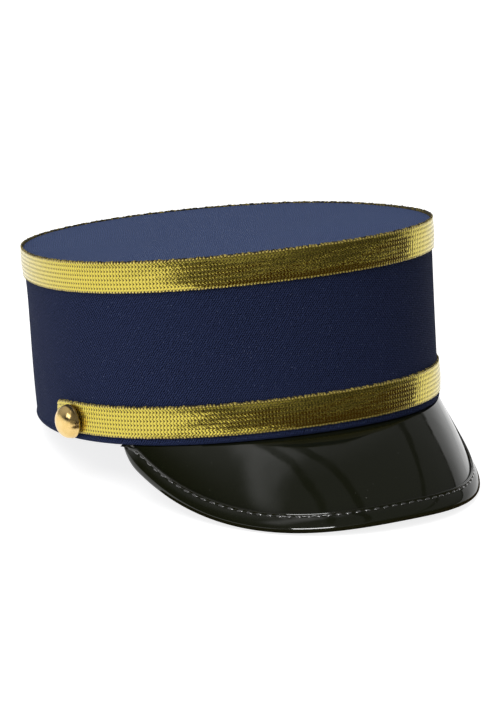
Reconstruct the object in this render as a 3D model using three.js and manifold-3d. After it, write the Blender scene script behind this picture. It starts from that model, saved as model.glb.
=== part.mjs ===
// A railway conductor's costume hat: a flat-topped round cap in navy cloth, a gold braid
// round its top edge, a second gold braid across the front that ends at two domed buttons,
// and a glossy black peak with a folded binding on its edge.
//
// Millimetres, +Z up. The front of the hat looks along -Y and the wearer's right is -X.
// The hat stands on a table by itself, on the back of its rim and on the edge of its peak,
// so the front of the crown is lifted. The origin is on the table under the hat's middle.

import * as THREE from 'three';
import { mergeVertices } from 'three/addons/utils/BufferGeometryUtils.js';
import Module from 'manifold-3d';

// Crown: sizes of the cloth drum
const crownRadius = 94;        // mean radius of the rim, to the outside of the wall
const crownHeight = 81.2;      // from the rim to the upper edge of the top braid
const crownFlare = 0.009;      // the top edge is this share wider than the rim
const topSlopeAlong = -0.018;  // rise of the top edge per mm towards the back
const topSlopeAcross = 0.013;  // rise of the top edge per mm towards the wearer's left
const wallThickness = 2;
const hemHeight = 2.6;         // the rolled lower edge of the wall
const hemBulge = 0.45;         // how far the hem stands out from the wall

// Plan outline of the soft crown: waves round the rim as shares of the mean radius.
// along is the part that is even from left to right, across is the part that is not.
const planWaves = [
  { count: 2, along: 0.031, across: 0.001 },
  { count: 3, along: -0.015, across: 0.017 },
  { count: 4, along: -0.008, across: 0.016 },
];

// Crown top: the disc and its seam allowance, which is turned down inside the wall
const topThickness = 1.8;
const topEdgeBevel = 0.5;
const allowanceDepth = 6;
const allowanceThickness = 1.2;

// Braids
const topBraidWidth = 13.8;
const frontBraidWidth = 14;
const braidThickness = 0.55;   // at the grooves between the ribs
const ribHeight = 0.35;
const ribCount = 7;
const ribCrestShare = 0.45;    // flat part of each rib, as a share of its width
const braidLip = 1;            // the top braid stands this much above the disc
const frontBraidLift = 3;      // lower edge of the front braid above the rim
const frontBraidTail = 8.2;    // degrees from the middle of a button to the cut end

// Buttons
const buttonAngle = 82.1;      // degrees from the front, on both sides
const buttonRadius = 7.75;
const buttonHeight = 6.9;
const buttonEdge = 1.5;        // height of the rolled edge under the dome
const buttonDomeSteps = 6;
const buttonDrop = 1.5;        // the button sits this much below the middle of the braid
const postRadius = 1.2;
const postHeadRadius = 3;
const postHeadThickness = 0.9;

// The button's rolled edge: across as a share of its radius, along as a share of its height
const buttonRim = [
  { across: 0.9, along: 0 },
  { across: 1, along: 0.4 },
  { across: 0.985, along: 1 },
];

// Peak
const peakReach = 63.0;        // degrees from the front to each end
const peakDepth = 48.8;        // along its surface, from the rim to its edge in the middle
const peakEndDepth = 3;
const peakThickness = 1.6;
const peakSlope = 44;          // degrees below level in the middle, halfway down
const peakSideSlope = 30;      // added towards the two ends
const peakBend = 30;           // how much the slope steepens from the rim to the front edge
const peakFan = 0.3;           // 1 would fan the surface out like spokes, 0 not at all
const peakOutlinePower = 3;
const flangeHeight = 9;        // sewn inside the wall

// Binding of the peak's edge
const bindingWidth = 6.5;
const bindingUnderWidth = 5.5;
const bindingRoll = 1.9;       // how far the rolled edge stands out past the peak's edge
const bindingThickness = 0.9;
const bindingRootGap = 0.8;    // its upper flap stays this far below the rim at its ends

const clearance = 0.3;         // between neighbouring pieces
const buttonClearance = 0.4;

// Fineness of the mesh
const stepDegrees = 5;
const peakSpans = 34;
const peakCrowding = 1.35;     // above 1 puts more of the spans near the peak's two ends
const peakSteps = 7;
const buttonSegments = 20;
const hemSteps = 4;
const tiny = 0.01;

const navyCloth = { color: 0x20294f, roughness: 0.92, metalness: 0 };
const goldBraid = { color: 0xd9bc4a, roughness: 0.36, metalness: 0.85 };
const brass = { color: 0xd3a95c, roughness: 0.2, metalness: 1 };
const patentBlack = { color: 0x0b0b0c, roughness: 0.08, metalness: 0 };

const wasm = await Module();
wasm.setup();

const radians = THREE.MathUtils.degToRad;
const up = new THREE.Vector3(0, 0, 1);

// Share of the mean radius at an angle from the front, positive towards the wearer's left
function planShare(angle) {
  let share = 1;
  for (const wave of planWaves) {
    share += wave.along * Math.cos(wave.count * angle);
    share += wave.across * Math.sin(wave.count * angle);
  }
  return share;
}

// A point of the drum: out is measured from the wall's outer face, level from the rim
function crownPoint(angle, out, level) {
  const rise = level / crownHeight;
  const radius = crownRadius * planShare(angle) * (1 + crownFlare * rise) + out;
  const x = radius * Math.sin(angle);
  const y = -radius * Math.cos(angle);
  const z = level + rise * (topSlopeAlong * y + topSlopeAcross * x);
  return new THREE.Vector3(x, y, z);
}

// The wall's outward direction at an angle and level
function crownNormal(angle, level) {
  const ahead = crownPoint(angle + tiny, 0, level);
  const behind = crownPoint(angle - tiny, 0, level);
  const round = ahead.sub(behind);
  const upwards = crownPoint(angle, 0, level + 1).sub(crownPoint(angle, 0, level));
  return round.cross(upwards).normalize();
}

function geometryFrom(points, triangles) {
  const geometry = new THREE.BufferGeometry();
  const flat = points.flatMap((point) => [point.x, point.y, point.z]);
  geometry.setAttribute('position', new THREE.Float32BufferAttribute(flat, 3));
  let volume = 0;
  for (const [a, b, c] of triangles) {
    volume += points[a].dot(points[b].clone().cross(points[c]));
  }
  const facing = volume < 0 ? triangles.map(([a, b, c]) => [a, c, b]) : triangles;
  geometry.setIndex(facing.flat());
  return geometry;
}

// Joins one closed outline to the next. outline(k) gives the k-th outline's points. The
// last joins the first, or both ends are closed by the triangles of the flat profile.
function loft(count, outline, profile) {
  const loops = Array.from({ length: count }, (_, k) => outline(k));
  const size = loops[0].length;
  const closed = profile === undefined;
  const triangles = [];
  const spans = closed ? count : count - 1;
  for (let k = 0; k < spans; k++) {
    const near = k * size;
    const far = ((k + 1) % count) * size;
    for (let i = 0; i < size; i++) {
      const j = (i + 1) % size;
      triangles.push([near + i, far + i, far + j]);
      triangles.push([near + i, far + j, near + j]);
    }
  }
  if (!closed) {
    const contour = profile.map(([across, height]) => new THREE.Vector2(across, height));
    const caps = THREE.ShapeUtils.triangulateShape(contour, []);
    const turned = THREE.ShapeUtils.area(contour) < 0;
    const last = (count - 1) * size;
    for (const [a, b, c] of caps) {
      triangles.push(turned ? [a, c, b] : [a, b, c]);
      triangles.push(turned ? [last + a, last + b, last + c] : [last + a, last + c, last + b]);
    }
  }
  return geometryFrom(loops.flat(), triangles);
}

// Joins rings one above the other and closes the first and the last with a flat fan
function stackOfRings(rings) {
  const size = rings[0].length;
  const points = rings.flat();
  const triangles = [];
  for (let k = 0; k + 1 < rings.length; k++) {
    for (let i = 0; i < size; i++) {
      const j = (i + 1) % size;
      const near = k * size;
      const far = near + size;
      triangles.push([near + i, near + j, far + j]);
      triangles.push([near + i, far + j, far + i]);
    }
  }
  for (const [ring, start] of [[rings[0], 0], [rings[rings.length - 1], points.length - size]]) {
    const middle = new THREE.Vector3();
    ring.forEach((point) => middle.addScaledVector(point, 1 / size));
    const centre = points.push(middle) - 1;
    for (let i = 0; i < size; i++) {
      const j = (i + 1) % size;
      triangles.push(start === 0 ? [centre, start + j, start + i] : [centre, start + i, start + j]);
    }
  }
  return geometryFrom(points, triangles);
}

// A closed band of the drum with the same profile all round it
function roundTheCrown(profile) {
  const count = Math.round(360 / stepDegrees);
  return loft(count, (k) => {
    const angle = radians(k * stepDegrees);
    return profile.map(([out, level]) => crownPoint(angle, out, level));
  });
}

// The wall: a plain band with a rolled hem at its lower edge
const topFaceLevel = crownHeight - braidLip;
const wallTopLevel = topFaceLevel - topThickness - clearance;

function wallProfile() {
  const middle = (hemBulge - wallThickness) / 2;
  const half = (hemBulge + wallThickness) / 2;
  const profile = [[-wallThickness, wallTopLevel]];
  for (let k = 0; k <= hemSteps; k++) {
    const turn = Math.PI * (1 + k / hemSteps);
    profile.push([
      middle + half * Math.cos(turn),
      (hemHeight / 2) * (1 + Math.sin(turn)),
    ]);
  }
  profile.push([0, hemHeight]);
  profile.push([0, wallTopLevel]);
  return profile;
}

// The top: a flat disc, with the seam allowance as a short ring inside the wall
function crownTopGeometry() {
  const underside = topFaceLevel - topThickness;
  const inside = -wallThickness - clearance;
  const profile = [
    [-topEdgeBevel, topFaceLevel],
    [0, topFaceLevel - topEdgeBevel],
    [0, underside],
    [inside, underside],
    [inside, underside - allowanceDepth],
    [inside - allowanceThickness, underside - allowanceDepth],
    [inside - allowanceThickness, underside],
  ];
  const count = Math.round(360 / stepDegrees);
  const rings = profile.map(([out, level]) => Array.from(
    { length: count },
    (_, k) => crownPoint(radians(k * stepDegrees), out, level),
  ));
  return stackOfRings(rings);
}

// A braid's section: a flat back and lengthwise ribs on its face
function braidProfile(low, width) {
  const groove = clearance + braidThickness;
  const pitch = width / ribCount;
  const profile = [[clearance, low + width], [clearance, low], [groove, low]];
  for (let k = 0; k < ribCount; k++) {
    const crestStart = low + pitch * (k + 0.5 - ribCrestShare / 2);
    const crestEnd = low + pitch * (k + 0.5 + ribCrestShare / 2);
    profile.push([groove + ribHeight, crestStart]);
    profile.push([groove + ribHeight, crestEnd]);
    profile.push([groove, low + pitch * (k + 1)]);
  }
  return profile;
}

function frontBraidGeometry() {
  const profile = braidProfile(frontBraidLift, frontBraidWidth);
  const reach = buttonAngle + frontBraidTail;
  const count = Math.round((2 * reach) / stepDegrees) + 1;
  const step = (2 * reach) / (count - 1);
  return loft(count, (k) => {
    const angle = radians(-reach + k * step);
    return profile.map(([out, level]) => crownPoint(angle, out, level));
  }, profile);
}

// Buttons: each dome is one solid with its post and the flat head inside the wall
const buttonLevel = frontBraidLift + frontBraidWidth / 2 - buttonDrop;
const buttonBase = clearance + braidThickness + ribHeight + buttonClearance;
const postInner = -wallThickness - clearance;

function buttonGeometry() {
  const profile = [
    [0, postInner - postHeadThickness],
    [postHeadRadius, postInner - postHeadThickness],
    [postHeadRadius, postInner],
    [postRadius, postInner],
    [postRadius, buttonBase],
  ];
  for (const { across, along } of buttonRim) {
    profile.push([buttonRadius * across, buttonBase + buttonEdge * along]);
  }
  const domeRadius = profile[profile.length - 1][0];
  for (let k = 1; k < buttonDomeSteps; k++) {
    const turn = (Math.PI / 2) * (k / buttonDomeSteps);
    profile.push([
      domeRadius * Math.cos(turn),
      buttonBase + buttonEdge + (buttonHeight - buttonEdge) * Math.sin(turn),
    ]);
  }
  profile.push([0, buttonBase + buttonHeight]);
  const points = profile.map(([across, along]) => new THREE.Vector2(across, along));
  return new THREE.LatheGeometry(points, buttonSegments);
}

function postHoleGeometry() {
  const length = 2 * (wallThickness + buttonBase + postHeadThickness);
  return new THREE.CylinderGeometry(
    postRadius + clearance,
    postRadius + clearance,
    length,
    buttonSegments,
  );
}

// Turns a shape made along +Y so that it stands out of the wall at the button's place
function placeAtButton(object, side) {
  const angle = radians(side * buttonAngle);
  object.position.copy(crownPoint(angle, 0, buttonLevel));
  object.quaternion.setFromUnitVectors(
    new THREE.Vector3(0, 1, 0),
    crownNormal(angle, buttonLevel),
  );
  object.updateMatrix();
  return object;
}

function toSolid(geometry) {
  const bare = geometry.clone();
  bare.deleteAttribute('normal');
  bare.deleteAttribute('uv');
  const merged = mergeVertices(bare, 1e-4);
  return new wasm.Manifold(new wasm.Mesh({
    numProp: 3,
    vertProperties: new Float32Array(merged.attributes.position.array),
    triVerts: new Uint32Array(merged.index.array),
  }));
}

function fromSolid(solid) {
  const mesh = solid.getMesh();
  const geometry = new THREE.BufferGeometry();
  const stride = mesh.numProp;
  const flat = [];
  for (let k = 0; k < mesh.vertProperties.length; k += stride) {
    flat.push(...mesh.vertProperties.slice(k, k + 3));
  }
  geometry.setAttribute('position', new THREE.Float32BufferAttribute(flat, 3));
  geometry.setIndex([...mesh.triVerts]);
  return geometry;
}

// Cuts the holes that the two button posts pass through
function withPostHoles(geometry) {
  let solid = toSolid(geometry);
  for (const side of [-1, 1]) {
    const hole = placeAtButton(new THREE.Mesh(postHoleGeometry()), side);
    solid = solid.subtract(toSolid(hole.geometry.clone().applyMatrix4(hole.matrix)));
  }
  return fromSolid(solid);
}

// The peak's depth along its surface at an angle from the front
function peakLength(angle) {
  const share = Math.min(1, Math.abs(angle) / radians(peakReach));
  const rest = 1 - share ** peakOutlinePower;
  return peakEndDepth + (peakDepth - peakEndDepth) * rest;
}

// A point of the peak's upper face. way is the distance from the rim along the surface.
// Past the edge the point goes straight on.
function peakPoint(angle, way) {
  const length = peakLength(angle);
  const share = angle / radians(peakReach);
  const point = crownPoint(angle, 0, -clearance);
  const heading = new THREE.Vector3(Math.sin(peakFan * angle), -Math.cos(peakFan * angle), 0);
  const slope = peakSlope + peakSideSlope * share ** 2;
  const bend = (peakBend * length) / peakDepth;
  const parts = 12;
  const onSurface = Math.min(way, length);
  for (let k = 0; k < parts; k++) {
    const middle = (onSurface / length) * ((k + 0.5) / parts);
    const down = radians(slope + bend * (middle - 0.5));
    point.addScaledVector(heading, (onSurface / parts) * Math.cos(down));
    point.addScaledVector(up, -(onSurface / parts) * Math.sin(down));
  }
  if (way > length) {
    const down = radians(slope + bend / 2);
    point.addScaledVector(heading, (way - length) * Math.cos(down));
    point.addScaledVector(up, -(way - length) * Math.sin(down));
  }
  return point;
}

// The peak's outward normal. It points up in the middle and outwards at the ends.
function peakNormal(angle, way) {
  const round = peakPoint(angle + tiny, way).sub(peakPoint(angle - tiny, way));
  const along = peakPoint(angle, way + tiny).sub(peakPoint(angle, Math.max(0, way - tiny)));
  return along.cross(round).normalize();
}

const peakStations = Array.from({ length: peakSpans + 1 }, (_, k) => {
  const across = (2 * k) / peakSpans - 1;
  const share = 1 - (1 - Math.abs(across)) ** peakCrowding;
  return radians(peakReach) * share * Math.sign(across);
});

// The peak's section laid out flat, which is only used to close its two ends: the upper
// face's points on one line, the lower face's on another, the flange's end bent up
function flatSection(steps) {
  const upper = [[0, flangeHeight]];
  const lower = [[-peakThickness, flangeHeight]];
  for (let k = 1; k < steps; k++) {
    upper.push([k * peakThickness, 0]);
    lower.push([(k - 1) * peakThickness, -peakThickness]);
  }
  lower[1] = [-peakThickness, -peakThickness];
  return [...upper, ...lower.reverse()];
}

// The peak is one sheet: a flange inside the wall, a short run under the hem, and the
// part that shows. Its lower face follows the upper one at the sheet's thickness.
function peakGeometry() {
  const inside = -wallThickness - clearance;
  const outlines = peakStations.map((angle) => {
    const upper = [
      crownPoint(angle, inside, flangeHeight),
      crownPoint(angle, inside, -clearance),
    ];
    const normals = [crownNormal(angle, 0), crownNormal(angle, 0)];
    const ways = Array.from({ length: peakSteps + 1 }, (_, k) => k / peakSteps);
    for (const way of ways) {
      upper.push(peakPoint(angle, way * peakLength(angle)));
      normals.push(peakNormal(angle, way * peakLength(angle)));
    }
    const lower = upper.map(
      (point, k) => point.clone().addScaledVector(normals[k], -peakThickness),
    );
    // corners of the lower face: under the flange, and under the outer edge of the hem
    const belowRim = -clearance - peakThickness;
    const opening = Math.acos(Math.min(1, Math.max(0, normals[2].z))) / 2;
    lower[1] = crownPoint(angle, inside - peakThickness, belowRim);
    lower[2] = crownPoint(angle, -peakThickness * Math.tan(opening), belowRim);
    return [...upper, ...lower.reverse()];
  });
  return loft(outlines.length, (k) => outlines[k], flatSection(outlines[0].length / 2));
}

// The binding's section, from the end of its upper flap round the edge to the end of its
// lower flap and back. across is a share of the flap's width where it is positive and of
// the roll where it is negative. height is a share of the binding's thickness above the
// upper face, or below the lower face where under is set.
const bindingSection = [
  { across: 1, height: 0, under: false },
  { across: 0, height: 0, under: false, gap: true },
  { across: 0, height: 0, under: true, gap: true },
  { across: 1, height: 0, under: true },
  { across: 1, height: 0.85, under: true },
  { across: 0.2, height: 1.1, under: true },
  { across: -0.4, height: 0.7, under: true },
  { across: -0.85, height: 0.05, under: true },
  { across: -1, height: -0.9, under: false },
  { across: -0.85, height: -0.15, under: false },
  { across: -0.4, height: 0.6, under: false },
  { across: 0.1, height: 0.95, under: false },
  { across: 0.4, height: 1.05, under: false },
  { across: 0.7, height: 0.85, under: false },
  { across: 0.8, height: 0.62, under: false },
  { across: 0.88, height: 0.8, under: false },
  { across: 0.94, height: 1.1, under: false },
  { across: 1, height: 0.8, under: false },
];

// Where a point of the section lies: how far in from the peak's edge, and how high.
// slant is the sine of the angle between the edge and the way in from it, and room is the
// most that a flap may reach in.
function bindingPlace(point, slant, room) {
  const width = point.under ? bindingUnderWidth : bindingWidth;
  const reach = Math.min(width / slant, room);
  const inward = point.across > 0 ? point.across * reach : (point.across * bindingRoll) / slant;
  const rise = clearance + point.height * bindingThickness;
  return {
    across: point.gap ? -clearance / slant : inward,
    height: point.under ? -peakThickness - rise : rise,
  };
}

function bindingGeometry() {
  const flat = bindingSection.map((point) => {
    const place = bindingPlace(point, 1, bindingWidth);
    return [place.across, place.height];
  });
  return loft(peakStations.length, (k) => {
    const angle = peakStations[k];
    const length = peakLength(angle);
    const edgeAhead = peakPoint(angle + tiny, peakLength(angle + tiny));
    const edgeBehind = peakPoint(angle - tiny, peakLength(angle - tiny));
    const edge = edgeAhead.sub(edgeBehind).normalize();
    const along = peakPoint(angle, length).sub(peakPoint(angle, length - tiny)).normalize();
    const slant = edge.cross(along).length();
    return bindingSection.map((point) => {
      const rootGap = point.under ? peakThickness + 2 * clearance : bindingRootGap;
      const place = bindingPlace(point, slant, length - rootGap);
      const way = length - place.across;
      return peakPoint(angle, way).addScaledVector(peakNormal(angle, way), place.height);
    });
  }, flat);
}

const hat = new THREE.Group();

function addPiece(name, geometry, look) {
  const mesh = new THREE.Mesh(geometry, new THREE.MeshStandardMaterial(look));
  mesh.name = name;
  hat.add(mesh);
  return mesh;
}

const wall = addPiece('crown_wall', withPostHoles(roundTheCrown(wallProfile())), navyCloth);
addPiece('crown_top', crownTopGeometry(), navyCloth);
const topBraidLow = crownHeight - topBraidWidth;
addPiece('top_braid', roundTheCrown(braidProfile(topBraidLow, topBraidWidth)), goldBraid);
addPiece('front_braid', withPostHoles(frontBraidGeometry()), goldBraid);
placeAtButton(addPiece('button_right', buttonGeometry(), brass), -1);
placeAtButton(addPiece('button_left', buttonGeometry(), brass), 1);
addPiece('peak', peakGeometry(), patentBlack);
const binding = addPiece('peak_binding', bindingGeometry(), patentBlack);

// Points of a piece in the hat's own frame
function pointsOf(mesh, keep = () => true) {
  const list = [];
  const position = mesh.geometry.attributes.position;
  mesh.updateMatrix();
  for (let k = 0; k < position.count; k++) {
    const point = new THREE.Vector3().fromBufferAttribute(position, k).applyMatrix4(mesh.matrix);
    if (keep(point)) {
      list.push(point);
    }
  }
  return list;
}

// The turn in which the back of the rim and both sides of the binding meet one level plane
function restingTurn() {
  const back = pointsOf(wall, (point) => point.y > 0);
  const right = pointsOf(binding, (point) => point.x < 0);
  const left = pointsOf(binding, (point) => point.x > 0);
  const lowest = (points, turn) => Math.min(
    ...points.map((point) => point.clone().applyEuler(turn).z),
  );
  const turnOf = (pitch, roll) => new THREE.Euler(pitch, roll, 0, 'XYZ');
  const gaps = (pitch, roll) => {
    const turn = turnOf(pitch, roll);
    const onRight = lowest(right, turn);
    const onLeft = lowest(left, turn);
    return [lowest(back, turn) - (onRight + onLeft) / 2, onRight - onLeft];
  };
  let pitch = 0;
  let roll = 0;
  const small = 1e-5;
  for (let k = 0; k < 12; k++) {
    const here = gaps(pitch, roll);
    const byPitch = gaps(pitch + small, roll).map((gap, i) => (gap - here[i]) / small);
    const byRoll = gaps(pitch, roll + small).map((gap, i) => (gap - here[i]) / small);
    const spread = byPitch[0] * byRoll[1] - byPitch[1] * byRoll[0];
    pitch -= (here[0] * byRoll[1] - here[1] * byRoll[0]) / spread;
    roll -= (here[1] * byPitch[0] - here[0] * byPitch[1]) / spread;
  }
  return turnOf(pitch, roll);
}

hat.rotation.copy(restingTurn());
hat.updateMatrixWorld(true);
const bounds = new THREE.Box3().setFromObject(hat, true);
hat.position.set(
  -(bounds.min.x + bounds.max.x) / 2,
  -(bounds.min.y + bounds.max.y) / 2,
  -bounds.min.z,
);

const group = new THREE.Group();
group.add(hat);

export default group;
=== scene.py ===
# %% [markdown]
# A railway conductor's costume hat in Blender.
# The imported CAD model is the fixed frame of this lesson: it says how big each piece is and
# where it sits. Every piece below but the stitches is a finer copy of one of its solids,
# modelled with Blender's own operators and then pressed to the hat's real outline.

import math

import bmesh
import bpy
import numpy as np
from mathutils import Matrix, Vector


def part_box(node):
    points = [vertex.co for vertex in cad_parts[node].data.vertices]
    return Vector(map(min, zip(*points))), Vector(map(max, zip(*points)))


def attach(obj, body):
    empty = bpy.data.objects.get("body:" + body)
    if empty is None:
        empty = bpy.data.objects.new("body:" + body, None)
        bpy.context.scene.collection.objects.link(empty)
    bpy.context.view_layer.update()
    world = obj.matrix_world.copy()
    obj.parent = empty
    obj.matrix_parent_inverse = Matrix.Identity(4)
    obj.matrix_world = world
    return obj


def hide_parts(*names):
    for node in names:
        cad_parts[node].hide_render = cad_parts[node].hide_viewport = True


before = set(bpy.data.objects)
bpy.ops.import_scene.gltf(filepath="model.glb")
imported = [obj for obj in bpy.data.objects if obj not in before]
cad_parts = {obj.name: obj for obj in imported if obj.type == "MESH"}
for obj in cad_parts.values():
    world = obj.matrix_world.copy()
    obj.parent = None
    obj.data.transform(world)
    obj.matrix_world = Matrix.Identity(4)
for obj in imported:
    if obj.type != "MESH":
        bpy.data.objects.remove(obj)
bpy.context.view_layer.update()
print("pieces in the frame:", sorted(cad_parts))

# %% [markdown]
# Sizes first. They are the same values as in the hat's drawing, in metres: a drum of 94 mm
# mean radius, 81 mm high, with two braids about 14 mm wide and a 49 mm peak.

# %% The hat's sizes
MM = 0.001
crown_radius = 94 * MM
crown_height = 81.2 * MM
crown_flare = 0.009
top_slope_along = -0.018
top_slope_across = 0.013
wall_thickness = 2 * MM
hem_height = 2.6 * MM
hem_bulge = 0.45 * MM
plan_waves = [(2, 0.031, 0.001), (3, -0.015, 0.017), (4, -0.008, 0.016)]
clearance = 0.3 * MM
braid_thickness = 0.55 * MM
rib_height = 0.35 * MM
ribs = 7
button_level = 8.5 * MM
button_angle = math.radians(82.1)
hat_pitch = math.radians(-10.02285)
hat_roll = math.radians(0.40186)
hat_place = np.array([2.16307, 11.60406, 16.84663]) * MM
hat_turn = np.array(
    (Matrix.Rotation(hat_pitch, 3, "X") @ Matrix.Rotation(hat_roll, 3, "Y"))
)

# %% [markdown]
# A drum is easy to model while it is perfectly round. So each piece of the crown starts as
# a round piece of 94 mm radius, and one helper then presses it to the soft, slightly
# egg-shaped outline of the real hat. The same helper leans the hat back, as it stands on a
# table on the back of its rim and on its peak.


# %% From the round model to the hat's shape
def plan_share(angle):
    share = np.ones_like(angle)
    for count, along, across in plan_waves:
        share += along * np.cos(count * angle) + across * np.sin(count * angle)
    return share


def crown_points(angle, out, level):
    rise = level / crown_height
    radius = crown_radius * plan_share(angle) * (1 + crown_flare * rise) + out
    x = radius * np.sin(angle)
    y = -radius * np.cos(angle)
    z = level + rise * (top_slope_along * y + top_slope_across * x)
    return np.stack([x, y, z], axis=-1)


def stand(points):
    return points @ hat_turn.T + hat_place


def get_points(piece):
    points = np.empty(len(piece.data.vertices) * 3)
    piece.data.vertices.foreach_get("co", points)
    return points.reshape(-1, 3)


def set_points(piece, points):
    piece.data.vertices.foreach_set("co", np.ascontiguousarray(points).ravel())
    piece.data.update()


def round_places(points):
    angle = np.arctan2(points[:, 0], -points[:, 1])
    out = np.hypot(points[:, 0], points[:, 1]) - crown_radius
    return angle, out, points[:, 2].copy()


wall_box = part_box("crown_wall")
lowest = stand(crown_points(np.linspace(-3.14, 3.14, 400), 0.0, np.zeros(400)))[:, 2].min()
print("rim's lowest point, mm:", round(lowest / MM, 2), "frame:", round(wall_box[0].z / MM, 2))

# %% [markdown]
# Small helpers that every maker keeps at hand: start with nothing selected, pick points in
# edit mode by a rule, finish a piece. Picking by place is what a person does by eye.


# %% Helpers for modelling
def nothing_selected():
    if bpy.context.object and bpy.context.object.mode != "OBJECT":
        bpy.ops.object.mode_set(mode="OBJECT")
    bpy.ops.object.select_all(action="DESELECT")


def named(name):
    piece = bpy.context.object
    piece.name = name
    piece.data.name = name
    return piece


def choose(piece):
    nothing_selected()
    piece.select_set(True)
    bpy.context.view_layer.objects.active = piece


def edit(piece):
    choose(piece)
    bpy.ops.object.mode_set(mode="EDIT")
    return bmesh.from_edit_mesh(piece.data)


def pick(piece, mesh, kind, rule):
    bpy.ops.mesh.select_all(action="DESELECT")
    bpy.ops.mesh.select_mode(type=kind)
    parts = {"VERT": mesh.verts, "EDGE": mesh.edges, "FACE": mesh.faces}[kind]
    picked = [part for part in parts if rule(part)]
    for part in picked:
        part.select = True
    mesh.select_flush_mode()
    bmesh.update_edit_mesh(piece.data)
    return picked


def turn_faces_outwards():
    """Turns all faces of the piece in edit mode outwards and leaves edit mode."""
    bpy.ops.mesh.select_all(action="SELECT")
    bpy.ops.mesh.normals_make_consistent(inside=False)
    bpy.ops.object.mode_set(mode="OBJECT")


# %% Helpers for finishing a piece
def add_modifier(piece, kind, **settings):
    choose(piece)
    modifier = piece.modifiers.new(kind.title(), kind)
    for name, value in settings.items():
        setattr(modifier, name, value)
    bpy.ops.object.modifier_apply(modifier=modifier.name)


def smooth(piece, degrees=50):
    choose(piece)
    bpy.ops.object.shade_smooth_by_angle(angle=math.radians(degrees))


def finish_piece(piece, nodes, finish=None):
    if finish:
        piece.data.materials.clear()
        piece.data.materials.append(finish)
    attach(piece, "root")
    if nodes:
        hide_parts(*nodes)
    triangles = sum(len(face.vertices) - 2 for face in piece.data.polygons)
    print(piece.name, "triangles:", triangles)


# %% [markdown]
# Cloth and braid follow the surface, so their patterns need a flat map: how far round the
# drum, and how high. The map is written while the piece is still round, in millimetres.


# %% A flat map of a round piece
def map_round_piece(piece, name, angle, height):
    """Maps each point to its way round the drum in mm and to its given height."""
    flat = piece.data.uv_layers.new(name=name)
    for face in piece.data.polygons:
        middle = math.atan2(face.center.x, -face.center.y)
        for loop in face.loop_indices:
            k = piece.data.loops[loop].vertex_index
            turn = (angle[k] - middle + math.pi) % (2 * math.pi) - math.pi
            flat.data[loop].uv = ((middle + turn) * crown_radius / MM, height[k])


# %% [markdown]
# Finishes. Each one is a small tree of nodes. These helpers add a node, join two nodes and
# calculate with their values, so that a recipe reads from top to bottom.


# %% Helpers for finishes
class Recipe:
    def __init__(self, name, world=False):
        kind = bpy.data.worlds if world else bpy.data.materials
        self.finish = kind.new(name)
        self.finish.use_nodes = True
        self.tree = self.finish.node_tree
        self.skin = self.tree.nodes["Background" if world else "Principled BSDF"]

    def add(self, kind, **settings):
        node = self.tree.nodes.new(kind)
        for name, value in settings.items():
            setattr(node, name, value)
        return node

    def join(self, start, end):
        self.tree.links.new(start, end)

    def calc(self, operation, *inputs):
        node = self.add("ShaderNodeMath", operation=operation)
        for k, value in enumerate(inputs):
            if isinstance(value, (int, float)):
                node.inputs[k].default_value = value
            else:
                self.join(value, node.inputs[k])
        return node.outputs[0]

    def plus(self, first, second):
        return self.calc("ADD", first, second)

    def times(self, first, second):
        return self.calc("MULTIPLY", first, second)

    def between(self, value, low, high, start=0.0, end=1.0):
        """Runs softly from start to end while the value runs from low to high."""
        node = self.add("ShaderNodeMapRange", interpolation_type="SMOOTHSTEP")
        self.join(value, node.inputs["Value"])
        for name, number in zip(("From Min", "From Max", "To Min", "To Max"), (low, high, start, end)):
            node.inputs[name].default_value = number
        return node.outputs["Result"]

    def mix_colours(self, share, first, second):
        node = self.add("ShaderNodeMix", data_type="RGBA")
        for socket, value in ((node.inputs[0], share), (node.inputs[6], first), (node.inputs[7], second)):
            if isinstance(value, (int, float)):
                socket.default_value = value
            elif isinstance(value, tuple):
                socket.default_value = (*value, 1.0)
            else:
                self.join(value, socket)
        return node.outputs[2]

    def flat_map(self, name):
        node = self.add("ShaderNodeUVMap", uv_map=name)
        parts = self.add("ShaderNodeSeparateXYZ")
        self.join(node.outputs[0], parts.inputs[0])
        return node.outputs[0], parts.outputs[0], parts.outputs[1]

    def round_top(self, gap, power):
        """From 0 at a gap (0) to 1 at a middle (0.5), steep beside the gap."""
        from_middle = self.calc("SUBTRACT", 1.0, self.times(gap, 2.0))
        return self.calc("SUBTRACT", 1.0, self.calc("POWER", from_middle, power))

    def noise(self, place, scale, detail=2.0, roughness=0.5):
        node = self.add("ShaderNodeTexNoise")
        self.join(place, node.inputs["Vector"])
        node.inputs["Scale"].default_value = scale
        node.inputs["Detail"].default_value = detail
        node.inputs["Roughness"].default_value = roughness
        return node.outputs["Fac"]

    def relief(self, height, depth_mm, strength=1.0):
        node = self.add("ShaderNodeBump")
        node.inputs["Strength"].default_value = strength
        node.inputs["Distance"].default_value = depth_mm * MM
        self.join(height, node.inputs["Height"])
        self.join(node.outputs[0], self.skin.inputs["Normal"])

    def set_skin(self, **values):
        for name, value in values.items():
            socket = self.skin.inputs[name.replace("_", " ")]
            if hasattr(value, "is_linked"):
                self.join(value, socket)
            else:
                socket.default_value = (*value, 1.0) if isinstance(value, tuple) else value
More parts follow.
